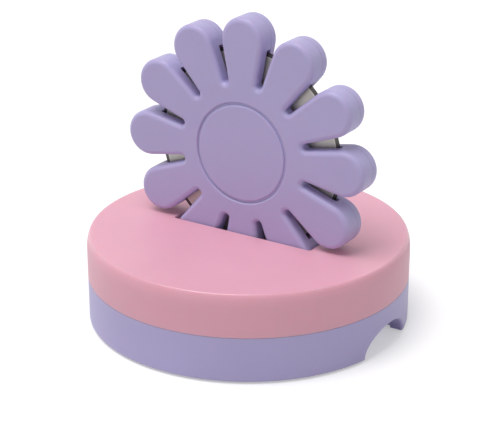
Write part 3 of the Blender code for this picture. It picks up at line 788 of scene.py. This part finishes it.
class YARNCUTTER_OT_base_tray(bpy.types.Operator):
    """Models the tray with its lip, sunk underside and rounded finger recesses"""

    bl_idname = "yarn_cutter.base_tray"
    bl_label = "Base tray"

    def execute(self, context):
        stand = settings()[1]
        tray = rod("tray_shell", stand.radius, stand.rim, stand.seam, 240)
        apply_place(tray)
        lip_outer = stand.radius - stand.wall - stand.lip_gap
        inner = lip_outer - stand.lip_wall
        floor_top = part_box("ballast_plate")[0].z - stand.floor_gap
        floor_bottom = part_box("foot_1")[1].z + stand.floor_gap
        lip_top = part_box("base_tray")[1].z
        edit(tray)
        pick("FACE", lambda co: near(co.z, stand.seam))
        bpy.ops.mesh.inset(thickness=stand.radius - lip_outer, depth=0)
        raise_faces(lip_top - stand.seam)
        bpy.ops.mesh.inset(thickness=lip_outer - inner, depth=0)
        raise_faces(floor_top - lip_top)
        pick("FACE", lambda co: near(co.z, stand.rim))
        bpy.ops.mesh.inset(thickness=stand.rim_width, depth=0)
        raise_faces(floor_bottom - stand.rim)
        pick("EDGE", lambda co: near(co.z, stand.rim) and near(co.xy.length, stand.radius, ON_EDGE))
        bpy.ops.mesh.bevel(offset=stand.rim_round, segments=4, profile=0.5)
        pick("EDGE", lambda co: near(co.z, stand.seam) and near(co.xy.length, stand.radius, ON_EDGE))
        bpy.ops.mesh.bevel(offset=stand.seam_round, segments=2, profile=0.5)
        bpy.ops.object.mode_set(mode="OBJECT")
        half = stand.recess_half_width + stand.recess_wall
        top = stand.rim + stand.recess_height + stand.recess_wall
        low = stand.rim + stand.rim_round
        near_end = stand.radius - stand.recess_depth - stand.recess_wall
        far_end = inner + OVERLAP
        size = (far_end - near_end, 2 * half, top - low)
        for side in (1, -1):
            lining = block("lining_blank", size, (side * (near_end + far_end) / 2, 0, (low + top) / 2))
            apply_place(lining)
            carve(tray, lining, "UNION")
            carve(tray, self.recess_tool(stand, side))
        post_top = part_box("head_cradle")[0].z
        for node in COVER_SCREWS:
            at = node_middle(node).xy
            carve(tray, rod("post_blank", stand.post_radius, floor_top - OVERLAP, post_top, 48, at), "UNION")
        for node in COVER_SCREWS + CRADLE_SCREWS:
            at = node_middle(node).xy
            carve(tray, rod("hole_tool", stand.hole_radius, 0, post_top + MM, 32, at))
        settle(tray, "stand", "base_tray", "lavender_moulding")
        return {"FINISHED"}

    def recess_tool(self, stand, side, facets=96, back_steps=5, mouth_steps=6):
        """The finger recess as a solid whose mouth follows the round wall and flares into a rounded edge."""
        end = stand.radius - stand.recess_depth
        back = stand.recess_back
        rows = []
        for step in range(back_steps + 1):
            turn = math.pi / 2 * step / back_steps
            rows.append((end + back * (1 - math.cos(turn)), back * (math.sin(turn) - 1), 0))
        for step in range(mouth_steps + 1):
            turn = math.pi / 2 * step / mouth_steps
            reach = stand.radius - stand.recess_round * (1 - math.sin(turn))
            rows.append((reach, stand.recess_round * (1 - math.cos(turn)), 1))
        rows.append((stand.radius + MM, stand.recess_round, 1))
        add = bpy.ops.mesh.primitive_circle_add
        tool = start(add, "recess_tool", vertices=facets, radius=1, fill_type="NGON")
        edit(tool)
        bpy.ops.mesh.select_all(action="SELECT")
        for _ in rows[1:]:
            raise_faces(1)

        def place(co):
            reach, spread, follows_wall = rows[round(co.z)]
            across = co.x * (stand.recess_half_width + spread)
            up = co.y * (stand.recess_height + spread)
            out = math.sqrt(reach**2 - across**2) if follows_wall else reach
            return Vector((side * out, side * across, stand.rim + up))

        move_corners(place)
        bpy.ops.mesh.select_all(action="SELECT")
        bpy.ops.mesh.normals_make_consistent(inside=False)
        bpy.ops.object.mode_set(mode="OBJECT")
        return tool


class YARNCUTTER_OT_feet(bpy.types.Operator):
    """Models one foot and copies it to every place"""

    bl_idname = "yarn_cutter.feet"
    bl_label = "Feet"

    def execute(self, context):
        stand = settings()[1]
        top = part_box("foot_1")[1].z
        model = rod("foot_model", node_size("foot_1").x / 2, 0, top, 64)
        apply_place(model)
        edit(model)
        pick("EDGE", lambda co: near(co.z, 0))
        bpy.ops.mesh.bevel(offset=stand.foot_round, segments=4, profile=0.5)
        pick("FACE", lambda co: near(co.z, 0))
        bpy.ops.mesh.inset(thickness=stand.groove_inset, depth=0)
        bpy.ops.mesh.inset(thickness=stand.groove_slope, depth=-stand.groove_depth)
        bpy.ops.mesh.inset(thickness=stand.groove_slope, depth=stand.groove_depth)
        bpy.ops.object.mode_set(mode="OBJECT")
        for number, node in enumerate(FEET, 1):
            place_copy(model, f"foot_pad_{number}", node, "stand", "silicone_finish")
        bpy.data.objects.remove(model)
        return {"FINISHED"}


def place_copy(model, name, node, body, finish, rotation=(0, 0, 0)):
    """A copy of a model, with its own mesh, in the place of a frame node."""
    low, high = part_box(node)
    middle = node_middle(node)
    copy = bpy.data.objects.new(name, model.data.copy())
    bpy.context.scene.collection.objects.link(copy)
    copy.data.name = name
    copy.rotation_euler = rotation
    if body == "head":
        copy.location = (middle.x, high.y, middle.z)
    else:
        copy.location = (middle.x, middle.y, low.z)
    settle(copy, body, node, finish)


def cross_screw(name, length, shank, head, height):
    """A pan-head screw with a cross recess, its head's crown at Z = 0 and its point upwards."""
    screw = rod(name, head, 0, height, 48)
    apply_place(screw)
    edit(screw)
    pick("EDGE", lambda co: near(co.z, 0))
    bpy.ops.mesh.bevel(offset=height * SCREW_CROWN, segments=5, profile=0.5)
    pick("FACE", lambda co: near(co.z, height))
    bpy.ops.mesh.inset(thickness=head - shank, depth=0)
    raise_faces(length - height - shank)
    raise_faces(shank)
    taper = Vector((SCREW_TIP, SCREW_TIP, 1))
    move_corners(lambda co: co * taper if near(co.z, length) else co)
    bpy.ops.object.mode_set(mode="OBJECT")
    for across, along in ((CROSS_LENGTH, CROSS_WIDTH), (CROSS_WIDTH, CROSS_LENGTH)):
        slot = block("cross_tool", (head * across, head * along, height), (0, 0, 0))
        apply_place(slot)
        carve(screw, slot)
    return screw


class YARNCUTTER_OT_screws(bpy.types.Operator):
    """Models the screws that show from behind and from below"""

    bl_idname = "yarn_cutter.screws"
    bl_label = "Screws"

    def execute(self, context):
        length = node_size("cover_screw_1").z
        model = cross_screw("stand_screw_model", length, **STAND_SCREW_SIZES)
        for node in COVER_SCREWS + CRADLE_SCREWS:
            place_copy(model, node + "_detailed", node, "stand", "plated_finish")
        bpy.data.objects.remove(model)
        length = node_size("shell_screw_1").y
        model = cross_screw("shell_screw_model", length, **SHELL_SCREW_SIZES)
        turn = (math.pi / 2, 0, 0)
        for node in SHELL_SCREWS:
            place_copy(model, node + "_detailed", node, "head", "plated_finish", turn)
        bpy.data.objects.remove(model)
        return {"FINISHED"}


class YARNCUTTER_OT_inner_pieces(bpy.types.Operator):
    """Gives the pieces inside the head and the stand their finishes"""

    bl_idname = "yarn_cutter.inner_pieces"
    bl_label = "Inner pieces"

    def execute(self, context):
        finishes = {
            "plated_finish": ("ballast_plate", "front_washer", "rear_washer", "blade_screw"),
            "lavender_moulding": ("head_cradle",),
            "silicone_finish": ("front_strip", "rear_strip"),
            "brass_finish": ("blade_bush",),
        }
        for finish, nodes in finishes.items():
            for node in nodes:
                dress(node, finish)
        return {"FINISHED"}


def aim(azimuth, elevation):
    """The direction at an angle round the object, from its front to +X, and an angle above the horizon."""
    level = math.cos(elevation)
    return Vector((math.sin(azimuth) * level, -math.cos(azimuth) * level, math.sin(elevation)))


def seen_directly(tree):
    """1 on rays that show a surface straight, in a mirror or through glass, and 0 on all others."""
    path = tree.nodes.new("ShaderNodeLightPath")
    kinds = ("Is Camera Ray", "Is Glossy Ray", "Is Transmission Ray")
    seen = sum((Signal(tree, path.outputs[kind]) for kind in kinds[1:]), Signal(tree, path.outputs[kinds[0]]))
    return seen.math("MINIMUM", seen, 1)


class YARNCUTTER_OT_stage(bpy.types.Operator):
    """Sets up the camera, the soft light and the pale floor"""

    bl_idname = "yarn_cutter.stage"
    bl_label = "Stage"

    def execute(self, context):
        stage = settings()[3]
        self.make_camera(stage)
        self.make_floor(stage)
        self.make_light(stage)
        return {"FINISHED"}

    def make_camera(self, stage):
        target = Vector((0, 0, stage.target))
        back = aim(stage.azimuth, stage.elevation)
        bpy.ops.object.camera_add(location=target + back * stage.distance)
        camera = bpy.context.active_object
        camera.name = "stage_camera"
        camera.rotation_euler = (-back).to_track_quat("-Z", "Y").to_euler()
        camera.data.lens = stage.lens
        camera.data.sensor_width = 36
        camera.data.shift_x = stage.shift / PHOTO_WIDTH
        camera.data.clip_start = 0.01
        camera.data.clip_end = 50
        bpy.context.scene.camera = camera

    def make_floor(self, stage):
        floor = start(bpy.ops.mesh.primitive_plane_add, "stage_floor", size=8)
        finish = Finish("stage_floor_finish")
        cloud = finish.noise(finish.place(), 9, 2)
        finish.set(Base_Color=finish.blend(cloud, shade(stage.floor, 0.995), stage.floor), Roughness=0.9)
        finish.set(Specular_IOR_Level=0.1, Emission_Strength=1.0)
        finish.set(Emission_Color=finish.blend(seen_directly(finish.tree), (0, 0, 0), stage.floor_glow))
        floor.data.materials.append(finish.material)

    def make_light(self, stage):
        world = bpy.data.worlds.new("stage_sky")
        world.use_nodes = True
        bpy.context.scene.world = world
        tree = world.node_tree
        background = tree.nodes["Background"]
        background.inputs["Color"].default_value = (1, 1, 1, 1)
        strength = stage.sky + (1 - stage.sky) * seen_directly(tree)
        tree.links.new(strength.socket, background.inputs["Strength"])
        bpy.ops.object.light_add(type="SUN")
        sun = bpy.context.active_object
        sun.rotation_euler = aim(stage.sun_azimuth, stage.sun_elevation).to_track_quat("Z", "Y").to_euler()
        sun.name = "stage_sun"
        sun.data.energy = stage.sun
        sun.data.angle = stage.sun_spread
        bpy.context.scene.view_settings.view_transform = "Standard"


OPERATORS = (
    YARNCUTTER_OT_stage,
    YARNCUTTER_OT_petal_shells,
    YARNCUTTER_OT_centre_cap,
    YARNCUTTER_OT_blade,
    YARNCUTTER_OT_top_cover,
    YARNCUTTER_OT_base_tray,
    YARNCUTTER_OT_feet,
    YARNCUTTER_OT_screws,
    YARNCUTTER_OT_inner_pieces,
)


class YARNCUTTER_PT_panel(bpy.types.Panel):
    """Lists the steps and the settings of the yarn cutter"""

    bl_idname = "YARNCUTTER_PT_panel"
    bl_label = "Yarn cutter"
    bl_space_type = "VIEW_3D"
    bl_region_type = "UI"
    bl_category = "Yarn cutter"

    def draw(self, context):
        layout = self.layout
        for operator in OPERATORS:
            layout.operator(operator.bl_idname)
        for group in settings():
            box = layout.box()
            for name in group.__annotations__:
                box.prop(group, name)


GROUPS = {
    "yarn_cutter_head": YarnCutterHeadSettings,
    "yarn_cutter_stand": YarnCutterStandSettings,
    "yarn_cutter_finish": YarnCutterFinishSettings,
    "yarn_cutter_stage": YarnCutterStageSettings,
}


def register():
    for name, group in GROUPS.items():
        bpy.utils.register_class(group)
        setattr(bpy.types.Scene, name, PointerProperty(type=group))
    for made in (*OPERATORS, YARNCUTTER_PT_panel):
        bpy.utils.register_class(made)


def unregister():
    for made in (YARNCUTTER_PT_panel, *reversed(OPERATORS)):
        bpy.utils.unregister_class(made)
    for name, group in GROUPS.items():
        delattr(bpy.types.Scene, name)
        bpy.utils.unregister_class(group)


def main():
    register()
    for operator in OPERATORS:
        group, name = operator.bl_idname.split(".")
        getattr(getattr(bpy.ops, group), name)()


if __name__ == "__main__":
    main()
